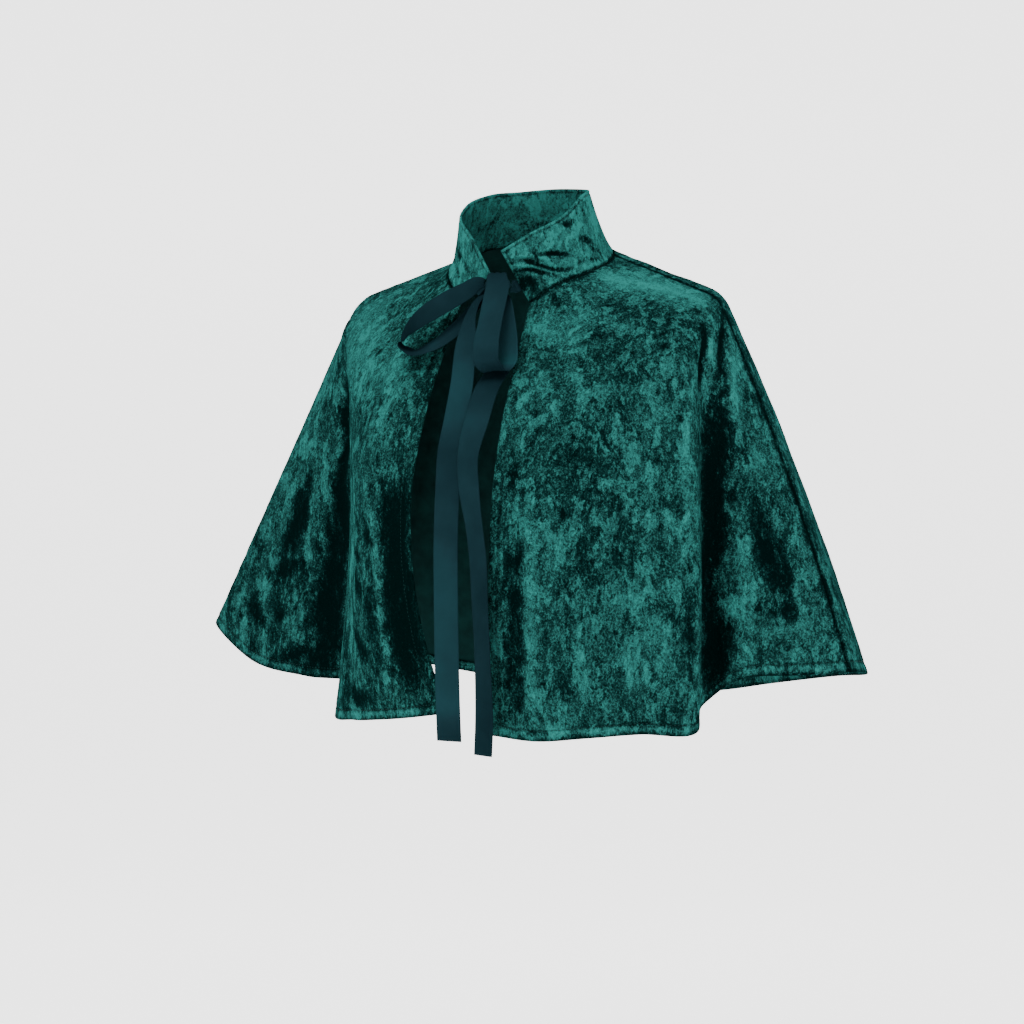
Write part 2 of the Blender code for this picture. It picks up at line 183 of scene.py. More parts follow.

# Creases: troughs (lift under 0) and ridges, and places with no lift where only the tone changes.
# A row is a name, its lift, how much lighter or darker its pile is painted, and the places that it
# runs through, each with the angle of its fall line, the distance down it and the crease's half width
# there, which stays the same where it isn't given again. A crease sinks to CREASE_END of itself at
# both ends. The tone is partly the crushed pile's own lay and partly painted light: painted shade in
# troughs, folds, hollows and under the arms, and painted highlights on ridges, edges, shoulders and
# the chest where the light falls.
CREASE_STEPS = 8
CREASE_FADE = 26.0
FADES_PER_CREASE = 2.2
CREASE_END = 0.25
FRONT_LEFT_CREASES = (
    ("crest shadow", -3, -0.5,
        (92, 210, 10), (91, 245, 12), (90, 288, 13), (89.5, 334, 12), (87.5, 371, 9), (90, 412, 12),
        (90.5, 443), (90, 471, 9),
    ),
    ("sleeve wedge", -2.2, -0.38,
        (100.5, 307, 5), (101, 333, 9), (102.5, 363, 13), (104, 390, 12), (105, 414, 7),
    ),
    ("edge shade", -1.4, -0.32,
        (34, 237, 4), (35, 266, 9), (35, 304, 11), (35, 346, 12), (35, 383), (34.5, 408, 8),
    ),
    ("chest shade", 0, -0.03, (68.5, 77, 14), (61.5, 118, 18), (59.5, 169, 14)),
    ("side light", 0.5, 0.05, (67, 157, 8), (67.5, 217, 10), (69, 282), (70, 335, 8)),
    ("low side shade", -0.8, -0.15, (77, 338, 4), (77, 390, 5), (77, 453, 4)),
    ("low shade", 0, -0.07, (61.5, 315, 9), (60.5, 366, 12), (61, 419, 9)),
    ("low light", 0.5, 0.08, (69.5, 404, 9), (70, 446, 11)),
    ("shoulder light", 0, 0.3, (66, 16, 18), (90, 49, 24), (98.5, 108, 20)),
    ("sleeve dark patch", -0.6, -0.28, (101, 409, 5), (104, 419, 8), (107, 430, 5)),
    ("armpit stripe", -2.4, -0.55, (91, 137, 3), (89.5, 158, 3.4), (86.5, 179), (85.5, 199, 4)),
    ("armpit ridge", 2, 0.26, (96.5, 145, 2.4), (92, 165, 2.6), (90, 189), (89, 203)),
    ("second stripe", -2.2, -0.55, (112.5, 146, 3), (102, 163, 3.4), (96, 179, 4), (94.5, 202, 6)),
    ("sleeve band", 1, 0.12, (111, 176, 7), (106.5, 197), (102, 222), (98, 250)),
    ("sleeve crease", 1.3, 0.14, (91.5, 388, 3.5), (94, 408), (98.5, 429), (104, 436), (110, 439)),
    ("under shoulder", 0, -0.0875, (74.5, 86, 10), (80, 116), (85, 132)),
    ("pit", -0.4, -0.35, (73.5, 132, 4), (75, 140)),
    ("pit crease", -0.8, -0.275, (73, 121, 2), (76.5, 123), (78.5, 127)),
    ("pit", -0.3, -0.3125, (70.5, 171, 3), (71, 175)),
    ("pit", -0.3, -0.3125, (75.5, 205, 3), (76.5, 213)),
    ("pit", -0.3, -0.275, (70.5, 230, 3), (71, 238)),
    ("pit", -0.3, -0.3125, (48.5, 241, 3), (49.5, 248)),
    ("edge column", 1.8, 0.22, (39, 218, 5), (40, 275, 6), (40.5, 328), (40, 382), (39, 415)),
    ("second column", 0.8, 0.07, (49.5, 287, 7), (54, 320), (55, 366), (56.5, 421)),
    ("crest light", 0.5, 0.1, (80.5, 163, 5), (78.5, 214), (77, 267), (77, 339)),
    ("upper streak", 0.6, 0.1, (53.5, 50, 6), (51, 79), (49.5, 108), (48, 134)),
    ("blob", 0.3, 0.1, (65, 177, 4), (65.5, 194)),
    ("drape one", -1.6, 0, (50, 280, 12), (49, 340), (48, 400)),
    ("drape two", 1.4, 0, (60, 260, 11), (61, 330), (62, 410)),
    ("upper light", 0, 0.17, (27, 0, 16), (46.5, 57, 22), (62.5, 35, 18)),
    ("crest patch", 0, 0.09, (74.5, 141, 14), (76.5, 179)),
    ("sleeve mass", 0, 0.04, (96, 361, 20), (101, 415, 26), (106, 463, 20)),
    ("stripe light", 1.2, 0.24, (114, 156, 3.4), (108, 176, 4), (101, 203, 4.5), (97.5, 236, 5)),
    ("edge patch", -0.8, -0.3, (34, 177, 4), (33.5, 188, 7), (34, 200, 4)),
    ("flat patch", 0.3, 0.15, (45.5, 267, 5), (46, 288, 8), (46, 300, 6)),
    ("low patch", 0.3, 0.12, (60, 335, 5), (60.5, 357, 7), (60, 375, 5)),
    ("side patch", -1.2, -0.24, (72.5, 363, 4), (73.5, 381, 6), (74, 402, 5)),
    ("side dots", -0.4, -0.28, (71.5, 312, 4), (72, 320, 5)),
    ("hem light", 0.6, 0.14, (30, 409, 3), (42.5, 428), (58, 450), (71, 471)),
    ("shoulder top", 0, 0.17, (92, 67, 14), (101, 99, 17), (102.5, 128, 13)),
    ("centre shade", 0, -0.1, (52.5, 169, 22), (55, 225, 28), (58.5, 272, 26), (60.5, 329, 20)),
    ("low side light", 0, 0.18, (67, 355, 14), (72, 397, 15), (72.5, 443, 14)),
    ("low centre shade", 0, -0.13, (54.5, 378, 12), (52, 400, 14), (46, 412, 12)),
    ("sleeve top light", 0, 0.1, (101, 254, 14), (104, 285, 16), (104, 317, 14)),
    ("upper edge light", 0, 0.07, (31, 40, 12), (32.5, 105, 13), (33.5, 165)),
)
# Tone on the back: painted shade in the drapes, pulls and folds, painted highlights on the ridges, rolls
# and blades, with the pile's lay.
BACK_CREASES = (
    ("left drape", -3, -0.275, (150, 200, 10), (149, 300), (149, 420)),
    ("left ridge", 2.4, 0.1, (157, 220, 9), (158, 320), (157, 440)),
    ("middle drape", -2.4, -0.225, (172, 250, 9), (173, 330), (172, 440)),
    ("middle ridge", 1.6, 0.08, (180, 210, 8), (181, 300), (179, 400)),
    ("right drape", -2.6, -0.25, (190, 240, 10), (189, 320), (190, 430)),
    ("right ridge", 2.2, 0.1, (200, 230, 9), (201, 320), (203, 430)),
    ("right valley", -3, -0.3, (213, 190, 10), (214, 300), (213, 420)),
    ("left elbow pull", -1.6, -0.175, (130, 150, 6), (137, 240), (136, 360)),
    ("left elbow ridge", 1.4, 0.1, (126, 190, 6), (130, 270), (131, 370)),
    ("right elbow pull", -1.6, -0.175, (230, 160, 6), (224, 260), (227, 380)),
    ("right elbow ridge", 1.4, 0.1, (236, 200, 6), (233, 280), (234, 380)),
    ("left blade light", 0, 0.06, (140, 40, 24), (156, 70), (172, 90)),
    ("right blade light", 0, 0.06, (192, 90, 24), (206, 70), (222, 50)),
    ("shoulder fold", -0.9, -0.2, (124, 120, 4), (130, 145), (134, 175)),
    ("right shoulder fold", -0.9, -0.2, (236, 115, 4), (231, 145), (228, 180)),
    ("pit", -0.3, -0.3, (164, 150, 4), (166, 158)),
    ("pit", -0.3, -0.3, (196, 190, 4), (194, 199)),
    ("pit", -0.3, -0.275, (145, 330, 3.5), (146, 340)),
    ("elbow crease", -1, -0.225, (128, 420, 4), (134, 428), (141, 424)),
    ("elbow roll", 1, 0.12, (127, 432, 4), (134, 440), (142, 436)),
)
# Tone on the right front: painted shade in the opening, the armpit trough, the wedge and the folds,
# painted highlights on the crest, the chest and the sleeve, with the pile's own dark blobs and pits.
FRONT_RIGHT_CREASES = (
    ("opening shade", -2, -0.44,
        (323.5, 191, 20), (326.5, 219), (327.5, 240, 19), (328, 262, 17), (328.5, 288, 18),
        (328.5, 316, 19), (328, 344), (328, 374, 18), (328, 396, 15),
    ),
    ("ragged column", 1.5, 0.15,
        (307, 207, 5), (314, 225, 6), (317, 252), (320, 283), (320, 323), (319, 361), (316, 407),
    ),
    ("armpit trough", -4, -0.52,
        (271, 176, 5), (269.5, 205, 8), (269.5, 242, 6), (268.5, 265, 8), (268.5, 300, 12), (268, 345, 16),
        (267, 382, 20), (267, 423), (266.5, 451, 21), (265.5, 470, 18),
    ),
    ("wedge", -1.8, -0.48, (260, 290, 6), (259, 318, 12), (259, 345, 13), (257.5, 373, 12), (257.5, 393)),
    ("low patch", -0.8, -0.38, (252, 449, 6), (254, 455, 8), (256, 457, 6)),
    ("small patch", -0.4, -0.36, (258.5, 435, 6), (259, 444)),
    ("crest line", 0.6, 0.2,
        (294, 194, 1.8), (298.5, 225), (299.5, 273), (292, 316), (289, 352), (285, 420),
    ),
    ("pull", -0.8, -0.125, (307.5, 113, 2.5), (308, 145), (302, 187)),
    ("upper chest", 0, 0.25, (268.5, 64, 30), (280, 107, 34), (309, 127)),
    ("pit", -0.3, -0.275, (283, 74, 3), (287, 73)),
    ("pit", -0.3, -0.275, (296, 101, 3), (299.5, 99)),
    ("pit", -0.3, -0.275, (299.5, 129, 3), (301.5, 132)),
    ("pit", -0.3, -0.275, (310.5, 134, 3), (312, 137)),
    ("lobe", 1.5, 0.14, (262.5, 281, 7), (263, 312), (263, 340), (262.5, 366)),
    ("elbow crease", -1.2, -0.1875, (250, 454, 3), (252, 457), (254.5, 459)),
    ("hem crease", 1.2, 0.16, (257.5, 480, 3.5), (260, 463), (263, 443)),
    ("hem shade", -1, -0.25, (259, 483, 4), (261.5, 471), (264, 455)),
    ("sleeve light", 0, 0.12, (261, 148, 16), (248, 244, 24), (246.5, 350, 20)),
    ("low mass", 0, -0.16, (321.5, 273, 26), (321, 330, 32), (317.5, 399, 30)),
    ("sleeve mass", 0, -0.13, (261, 377, 26), (260.5, 437, 34), (263.5, 479, 30)),
    ("low blob one", -0.6, -0.42, (312, 248, 6), (314, 257, 7), (317, 266, 6)),
    ("low blob two", -0.8, -0.44, (299, 316, 7), (304, 322, 8), (309, 318, 7)),
    ("low blob three", -0.8, -0.46, (297, 368, 7), (302, 378, 9), (308, 384, 8)),
    ("low blob four", -0.6, -0.42, (289, 438, 8), (298, 432, 9), (307, 424, 8)),
    ("wedge foot", -0.8, -0.4, (254, 412, 6), (259, 391, 9), (264, 375, 8)),
    ("middle patch", -0.4, -0.3, (255, 414, 4), (257, 415)),
    ("hem shadow", 0, -0.25, (261, 472, 8), (264.5, 468, 12), (267.5, 457)),
    ("low blob five", -0.6, -0.36, (300, 286, 5), (303, 291, 6), (306, 290, 5)),
    ("chest light", 0, 0.17, (309, 71, 13), (313, 117, 15), (315, 159, 17), (321.5, 186, 12)),
    ("shoulder shade", 0, -0.11, (251.5, 139, 12), (267.5, 146, 14), (266.5, 176, 12)),
    ("crest shade", 0, -0.09, (268.5, 281, 10), (269, 318, 12), (269, 359, 10)),
    ("low crest shade", 0, -0.12, (286.5, 389, 9), (287, 416, 10), (289, 440, 9)),
)
# On the collar, the second number of a place is the distance up from the neck seam
# Tone on the collar: painted shade in the wrinkles and corners, painted highlights on the rolls and the
# upper side, with the pile's lay.
COLLAR_CREASES = (
    ("top wrinkle", -2.6, -0.6, (42, 32, 1.8), (49, 29, 2.2), (58, 24), (65, 18, 1.8)),
    ("top roll", 1.8, 0.2, (30.5, 43, 2), (39, 35), (48, 23), (58, 15)),
    ("long wrinkle", -2.6, -0.6, (28, 40, 1.6), (35.5, 34, 2), (42, 22, 2.2), (50, 12), (63.5, 7, 1.8)),
    ("low roll", 1.8, 0.22, (28, 36, 1.8), (36.5, 27), (45, 15), (52, 8)),
    ("low wrinkle", -2.4, -0.6, (28, 32, 1.8), (36.5, 23, 2.2), (43, 13), (51, 4, 1.8)),
    ("corner shade", -1.4, -0.6, (27, 26, 6), (30.5, 15, 9), (38, 6, 8)),
    ("side blob", -0.8, -0.5, (74, 32, 3), (79.5, 28, 3.4), (87.5, 22, 3)),
    ("upper blob", -0.5, -0.45, (61.5, 54, 2.6), (67, 48, 3), (74, 48, 2.4)),
    ("front corner", -0.6, -0.35, (29, 53, 3), (30, 48)),
    ("right wrinkle", -1.1, -0.32, (326, 24, 2.6), (312, 27), (296, 26)),
    ("right low wrinkle", -0.9, -0.32, (322, 13, 2.4), (304, 15), (288, 14)),
    ("back wrinkle", -1.2, -0.3, (140, 24, 3), (165, 27), (190, 25), (214, 27)),
    ("back low wrinkle", -1, -0.175, (158, 14, 2.8), (182, 12), (206, 14)),
    ("right side wrinkle", -1, -0.175, (236, 30, 2.8), (256, 28), (274, 30)),
    ("side streak", -0.8, -0.25, (62.5, 12, 2), (74.5, 9, 2.4), (90.5, 6, 2)),
    ("second blob", -0.6, -0.42, (81.5, 20, 2.6), (86, 15)),
    ("top streak", 0, -0.25, (83, 60, 2.4), (84.5, 50, 2.6)),
    ("low front shade", 0, -0.18, (36.5, 29, 8), (48, 26, 10), (60.5, 26, 8)),
    ("upper side light", 0, 0.12, (75.5, 46, 9), (89.5, 28, 10), (98.5, 9, 8)),
)


def cubic(knots, values, places):
    """Reads a smooth cubic through values at knots, at many places at once."""
    values, places = np.asarray(values, float), np.atleast_1d(places)
    slopes = np.gradient(values, knots, axis=0)
    i = np.clip(np.searchsorted(knots, places, side="right") - 1, 0, len(knots) - 2)
    shape = (-1,) + (1,) * (values.ndim - 1)
    gap = (knots[i + 1] - knots[i]).reshape(shape)
    t = (places - knots[i]).reshape(shape) / gap
    return (
        values[i] * (1 + 2 * t) * (1 - t) ** 2
        + values[i + 1] * t * t * (3 - 2 * t)
        + gap * (slopes[i] * t * (1 - t) ** 2 - slopes[i + 1] * t * t * (1 - t))
    )


def unit(vectors):
    return vectors / np.maximum(np.linalg.norm(vectors, axis=-1, keepdims=True), 1e-9)


def direction(azimuth, elevation):
    """A unit vector, by degrees round from the front and up."""
    a, e = math.radians(azimuth), math.radians(elevation)
    return np.array((math.sin(a) * math.cos(e), -math.cos(a) * math.cos(e), math.sin(e)))


def run_along(line):
    """How far each point lies along a line, or along the lines side by side in a grid."""
    steps = np.linalg.norm(np.diff(line, axis=0), axis=-1)
    return np.concatenate((np.zeros_like(steps[:1]), np.cumsum(steps, axis=0)))


def points_at(places, run, line):
    """Reads a line at places along it."""
    return np.stack([np.interp(places, run, line[:, axis]) for axis in range(3)], axis=-1)


def nearest_index(values, target):
    return int(np.argmin(np.abs(values - target)))


def mark(distance, amount, reach):
    """A bell: amount on a line, fading out within about twice its reach."""
    return amount * np.exp(-((distance / reach) ** 2))


def rounding(distance, radius):
    """How far a surface drops at a distance from an edge rounded to radius."""
    inward = np.clip(1 - distance / radius, 0, 1)
    return radius * (1 - np.sqrt(1 - inward**2))


def soft_noise(points, size, seed, cells=32):
    """Smooth noise from -1 to 1 whose bumps are about size apart."""
    table = np.random.default_rng(seed).uniform(-1, 1, (cells, cells, cells))
    scaled = points / size
    cell = np.floor(scaled).astype(int)
    t = scaled - cell
    t = t * t * (3 - 2 * t)
    total = 0.0
    for corner in np.ndindex(2, 2, 2):
        weight = np.prod(np.where(np.array(corner) == 1, t, 1 - t), axis=-1)
        x, y, z = np.moveaxis((cell + np.array(corner)) % cells, -1, 0)
        total = total + weight * table[x, y, z]
    return total


def neckline(angles):
    turns = np.radians(np.atleast_1d(angles))
    known, heights = np.array(NECK_HEIGHTS, float).T
    return np.stack((
        NECK_SHIFT_X + NECK_HALF_WIDTH * np.sin(turns),
        -NECK_HALF_DEPTH * np.cos(turns),
        cubic(known, heights, np.atleast_1d(angles)),
    ), axis=-1)


def fall_line(row):
    """One fall line, finely: over the body, round the break and down to the hem."""
    fall = dict(zip(FALL_COLUMNS, row))
    neck = neckline(fall["angle"])[0]
    top, middle, hem = (
        np.array([fall[f"{part}_{axis}"] for axis in "xyz"], float) for part in ("break", "mid", "hem")
    )
    upper, lower = np.linalg.norm(middle - top), np.linalg.norm(hem - middle)
    share = upper / (upper + lower)

    def hanging(t):
        t = np.atleast_1d(t)[:, None]
        return (
            top * (t - share) * (t - 1) / share
            + middle * t * (t - 1) / (share * (share - 1))
            + hem * t * (t - share) / (1 - share)
        )

    reach = fall["bend"]
    start = top + (neck - top) * reach / np.linalg.norm(neck - top)
    bend_end = reach / (upper + lower)
    end = hanging(bend_end)[0]
    over = neck + (start - neck) * np.linspace(0, 1, SAMPLES_TOP + 1)[:, None]
    t = np.linspace(0, 1, SAMPLES_BEND + 1)[1:, None]
    bend = start * (1 - t) ** 2 + top * 2 * t * (1 - t) + end * t**2
    down = hanging(np.linspace(bend_end, 1, SAMPLES_HANG + 1)[1:])
    return np.vstack((over, bend, down))


class Cloth:
    """A grid of points on one piece of cloth, with where each lies on it."""

    def __init__(self, points, turns, down):
        self.points, self.turns, self.down = points, turns, down
        along = np.gradient(points, axis=0)
        self.normals = unit(np.cross(np.gradient(points, axis=1), along))
        across = run_along(points)
        self.from_first, self.from_last = across, across[-1] - across
        self.from_neck, self.from_hem = down, down[:, -1:] - down
        self.lift = np.zeros(points.shape[:2])
        self.tone = np.zeros(points.shape[:2])

    def place(self, turn, down):
        """The point at an angle and a distance down the fall line."""
        column = np.interp(turn, self.turns, np.arange(len(self.turns)))
        low = min(int(column), len(self.turns) - 2)
        share = column - low
        start, end = (points_at(down, self.down[i], self.points[i]) for i in (low, low + 1))
        return start * (1 - share) + end * share

    def crease(self, rows):
        """Presses a table's creases into the cloth and paints their tone: painted shade and painted
        highlights, with the pile's lay.
        """
        for _, lift, tone, *path in rows:
            path = with_widths(path)
            knots = np.arange(len(path), dtype=float)
            fine = cubic(knots, path, np.linspace(0, knots[-1], (len(path) - 1) * CREASE_STEPS + 1))
            line = np.array([self.place(turn, down) for turn, down, _ in fine])
            run = run_along(line)
            nearest = np.full(self.lift.shape, np.inf)
            along, width = np.zeros(self.lift.shape), np.ones(self.lift.shape)
            for i, (start, end) in enumerate(zip(line[:-1], line[1:])):
                way = end - start
                t = np.clip(((self.points - start) @ way) / (way @ way), 0, 1)
                gap = np.linalg.norm(self.points - start - t[..., None] * way, axis=2)
                closer = gap < nearest
                nearest = np.where(closer, gap, nearest)
                along = np.where(closer, run[i] + t * (run[i + 1] - run[i]), along)
                width = np.where(closer, fine[i, 2] + t * (fine[i + 1, 2] - fine[i, 2]), width)
            reach = min(CREASE_FADE, run[-1] / FADES_PER_CREASE)
            fade = np.clip(np.minimum(along, run[-1] - along) / reach, 0, 1)
            fade = fade * (1 - CREASE_END) + CREASE_END
            away = nearest / width
            self.lift += lift * fade * np.exp(-(away**2))
            self.tone += tone * fade * np.exp(-(away**3))

    def crush(self, seed, strength=1.0):
        """Soft crush marks all over, and a pile that lies in streaks low down."""
        stretched = self.points * np.array(MARK_STRETCH)
        swirl = noise_marks(self.points, MARK_SWIRL, seed + 5)[..., None]
        marks = noise_marks(stretched, LARGE_MARKS, seed) + noise_marks(stretched, SMALL_MARKS, seed + 1)
        marks += np.abs(noise_marks(stretched + swirl, FINE_MARKS, seed + 2))
        self.lift += strength * marks
        low = np.clip((self.from_neck - LOW_FROM) / (LOW_FULL - LOW_FROM), 0, 1)
        streaks = noise_marks(self.points * np.array(STREAK_STRETCH), TONE_STREAKS, seed + 4)
        self.tone += noise_marks(stretched, TONE_MARKS, seed + 3) + low * (LOW_LIGHT + streaks)


def with_widths(path):
    """A crease's places, each with its half width."""
    places = [path[0]]
    for place in path[1:]:
        places.append(place if len(place) == 3 else (*place, places[-1][2]))
    return np.array(places, float)


def noise_marks(points, marks, seed):
    """Soft noise, for marks by how high they are and how far apart."""
    amount, spacing = marks
    return amount * soft_noise(points, spacing, seed)


# All fall lines with their knots, as the frame's panels have them
LINES = np.array([fall_line(row) for row in FALLS])
KNOTS = run_along(LINES).mean(axis=1)
ANGLES = np.array([row[1] for row in FALLS], float)


def columns_at(gap_places):
    """The cloth's columns at places counted in gaps between fall lines."""
    places = np.interp(gap_places, np.arange(len(KNOTS)), KNOTS)
    columns = cubic(KNOTS, LINES, places)
    turns = cubic(KNOTS, ANGLES, places)
    columns[:, 0] = neckline(turns)
    return columns, turns


def panel_cloth(first, last):
    """A panel between two fall lines, drawn finely at its seams and hem."""
    whole_back = first > 0 and last < len(FALLS) - 1
    per_gap = BACK_COLUMNS_PER_GAP if whole_back else FRONT_COLUMNS_PER_GAP
    places = np.arange(first, last + 1e-6, 1 / per_gap)
    fine = np.array(SEAM_PLACES)
    after_first = places > first + fine[-1] + SEAM_CLEAR
    inner = places[after_first & (places < last - fine[-1] - SEAM_CLEAR)]
    places = np.concatenate((first + fine, inner, last - fine[::-1]))
    columns, turns = columns_at(places)
    points, down = [], []
    for column in columns:
        run = run_along(column)
        body = np.linspace(NECK_ROWS[-1], run[-1] - HEM_ROWS[0], ROWS_BETWEEN + 1)[1:-1]
        rows = np.concatenate((NECK_ROWS, body, run[-1] - np.array(HEM_ROWS)))
        points.append(points_at(rows, run, column))
        down.append(rows)
    cloth = Cloth(np.array(points), turns, np.array(down))
    for column, seam, way in ((0, first, 1), (-1, last, -1)):
        if 0 < seam < len(FALLS) - 1:
            inward = unit(cloth.points[column + way] - cloth.points[column])
            cloth.points[column] += inward * SEAM_GAP / 2
    return cloth


def quads(*corners):
    """Four-sided faces, from four arrays of point numbers."""
    return np.stack(corners, axis=-1).reshape(-1, 4).tolist()


def add_object(name, points, faces, looks):
    """A smooth mesh object in the scene, from points in metres."""
    mesh = bpy.data.meshes.new(name)
    mesh.from_pydata(np.asarray(points).tolist(), [], faces)
    mesh.shade_smooth()
    for look in looks:
        mesh.materials.append(look)
    obj = bpy.data.objects.new(name, mesh)
    bpy.context.scene.collection.objects.link(obj)
    return obj


def closed_sheet(name, outer, inner, looks, inner_look, tone):
    """A closed sheet between an outer and an inner grid, with a tone for each point."""
    index = np.arange(tone.size).reshape(tone.shape)
    a, b, c, d = index[:-1, :-1], index[:-1, 1:], index[1:, 1:], index[1:, :-1]
    ring = np.concatenate((index[0, :-1], index[:-1, -1], index[-1, :0:-1], index[:0:-1, 0]))
    following = np.roll(ring, -1)
    rim = quads(ring, ring + tone.size, following + tone.size, following)
    faces = quads(a, b, c, d) + quads(*(part + tone.size for part in (a, d, c, b))) + rim
    points = np.concatenate((outer.reshape(-1, 3), inner.reshape(-1, 3))) * MM
    sheet = add_object(name, points, faces, looks)
    slots = np.zeros(len(faces), int)
    slots[a.size : 2 * a.size] = inner_look
    sheet.data.polygons.foreach_set("material_index", slots)
    attribute = sheet.data.attributes.new("tone", "FLOAT", "POINT")
    attribute.data.foreach_set("value", np.concatenate((tone.ravel(), tone.ravel())))
    return sheet


def sew_panel(name, node, first, last, creases, seed, looks):
    """One velvet panel: rolled into its seams, with a turned and stitched hem."""
    cloth = panel_cloth(first, last)
    cloth.crush(seed)
    cloth.crease(creases)
    sides = ((cloth.from_first, first == 0), (cloth.from_last, last == len(FALLS) - 1))
    hem_roll = HEM_THICKNESS / 2
    edges = [(cloth.from_neck, SEAM_ROLL), (cloth.from_hem, hem_roll)]
    edges += [(distance, hem_roll if is_open else SEAM_ROLL) for distance, is_open in sides]
    drop = np.max([rounding(distance, radius) for distance, radius in edges], axis=0)
    from_edge = np.min([distance for distance, _ in edges], axis=0)
    band = np.min([cloth.from_hem] + [distance for distance, is_open in sides if is_open], axis=0)
    pucker = soft_noise(cloth.points, HEM_PUCKER_SIZE, seed + 7) * mark(band - HEM_BAND, *HEM_PUCKER)
    small = soft_noise(cloth.points, SEAM_PUCKER_SIZE, seed + 9)
    for distance in (cloth.from_neck, cloth.from_first, cloth.from_last):
        pucker += small * mark(distance, *SEAM_PUCKER)
    lift = cloth.lift * (1 - mark(from_edge, *PANEL_CALM)) - mark(band - HEM_BAND, *HEM_GROOVE)
    lift += pucker * np.clip(from_edge / PUCKER_START, 0, 1)
    thick = VELVET + (HEM_THICKNESS - VELVET) * np.clip((TURNED_BAND - band) / TURNED_STEP, 0, 1)
    under = np.maximum(thick - rounding(band, hem_roll), drop + EDGE_WALL)
    outer = cloth.points + cloth.normals * (lift - drop)[..., None]
    inner = cloth.points + cloth.normals * (lift - under)[..., None]
    # Painted shade along the neck seam, the side seams, the open edges, the hem edge and the stitch
    # groove, and a painted highlight a little up from the hem.
    tone = cloth.tone + mark(cloth.from_neck, *NECK_SHADE)
    for distance, is_open in sides:
        tone += mark(distance, *(EDGE_SHADE if is_open else SEAM_SHADE))
    tone += mark(cloth.from_hem, *HEM_SHADE) + mark(band - HEM_BAND, *STITCH_SHADE)
    tone += mark(cloth.from_hem - HEM_LIGHT_UP, *HEM_LIGHT)
    inner_look = np.where(band[:-1, :-1].ravel() < TURNED_BAND, 0, 1)
    sheet = closed_sheet(name, outer, inner, (looks["velvet"], looks["backing"]), inner_look, tone)
    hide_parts(node)
    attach(sheet, "root")
    return cloth, outer, sheet


def collar_cloth():
    """The collar's grid, from the neck seam up."""
    _, angles, *tops = zip(*COLLAR_LINES)
    angles, tops = np.array(angles, float), np.array(tops, float).T
    _, turns = columns_at(np.linspace(0, len(FALLS) - 1, COLLAR_GRID_COLUMNS))
    low = neckline(turns) + np.array((0.0, 0.0, COLLAR_GAP))
    outward = unit(np.stack((low[:, 0] - NECK_SHIFT_X, low[:, 1], np.zeros(len(low))), axis=1))
    fine, (low_rows, middle_rows, top_rows) = COLLAR_FINE_SHARE, COLLAR_ROWS
    middle = np.linspace(fine, 1 - fine, middle_rows)[1:-1]
    t = np.concatenate((np.linspace(0, fine, low_rows), middle, np.linspace(1 - fine, 1, top_rows)))
    hollow = COLLAR_HOLLOW * (1 - np.exp(-t / COLLAR_FLARE)) * (1 - t**2)
    points = low[:, None] + (cubic(angles, tops, turns) - low)[:, None] * t[None, :, None]
    points = points - outward[:, None] * hollow[None, :, None]
    cloth = Cloth(points, turns, run_along(points.swapaxes(0, 1)).T)
    cloth.normals = -cloth.normals
    return cloth


def sew_collar(looks):
    """The collar: two layers in one, rounded over at the top and the ends, with a line of stitches."""
    cloth = collar_cloth()
    cloth.crease(COLLAR_CREASES)
    cloth.crush(71, COLLAR_CRUSH)
    half = COLLAR_THICKNESS / 2
    band = np.min((cloth.from_first, cloth.from_last, cloth.from_hem), axis=0)
    drop = np.maximum(rounding(cloth.from_neck, SEAM_ROLL), rounding(band, half))
    groove = mark(band - COLLAR_BAND, *COLLAR_GROOVE)
    raised = cloth.lift * (1 - mark(np.minimum(band, cloth.from_neck), *COLLAR_CALM))
    outer = cloth.points + cloth.normals * (raised - groove - drop)[..., None]
    under = np.maximum(COLLAR_THICKNESS - rounding(band, half), drop + EDGE_WALL)
    inner = cloth.points + cloth.normals * (COLLAR_INSIDE_LIFT * raised + groove - under)[..., None]
    wall = ((outer - inner) * cloth.normals).sum(axis=2)
    inner -= cloth.normals * np.maximum(COLLAR_WALL - wall, 0)[..., None]
    # Painted shade along the neck seam and the stitch groove.
    tone = cloth.tone + mark(cloth.from_neck, *COLLAR_NECK_SHADE)
    tone += mark(band - COLLAR_BAND, *COLLAR_STITCH_SHADE)
    # The collar's rows run up, so its grid is turned for the faces to look outward
    sheet = closed_sheet("velvet_collar", outer[::-1], inner[::-1], (looks["collar"],), 0, tone[::-1])
    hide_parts("collar")
    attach(sheet, "root")
    return cloth, outer, sheet


def stitches(name, line, normals, look):
    """A row of stitches along a line on the cloth, each a short thread that dips in at its ends."""
    run = run_along(line)
    last = run[-1] - STITCH_LENGTH - STITCH_SPACE
    starts = np.arange(STITCH_SPACE, last, STITCH_LENGTH + STITCH_SPACE)
    t = np.linspace(0, 1, len(STITCH_PROFILE))
    at = starts[:, None] + t * STITCH_LENGTH
    up = unit(points_at(at, run, normals))
    dip = STITCH_RISE * np.sin(np.pi * t) - STITCH_SUNK
    middle = points_at(at, run, line) + up * dip[None, :, None]
    side = unit(np.cross(np.gradient(middle, axis=1), up))
    turn = np.linspace(0, 2 * np.pi, STITCH_SIDES, endpoint=False)[:, None]
    ring = np.cos(turn) * side[:, :, None] + np.sin(turn) * up[:, :, None]
    thick = STITCH_RADIUS * np.array(STITCH_PROFILE)
    points = middle[:, :, None] + ring * thick[None, :, None, None]
    index = np.arange(points.size // 3).reshape(points.shape[:3])
    ahead = np.roll(index, -1, axis=2)
    faces = quads(index[:, :-1], ahead[:, :-1], ahead[:, 1:], index[:, 1:])
    faces += index[:, 0, ::-1].tolist() + index[:, -1].tolist()
    thread = add_object(name, points.reshape(-1, 3) * MM, faces, (look,))
    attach(thread, "root")
    return thread


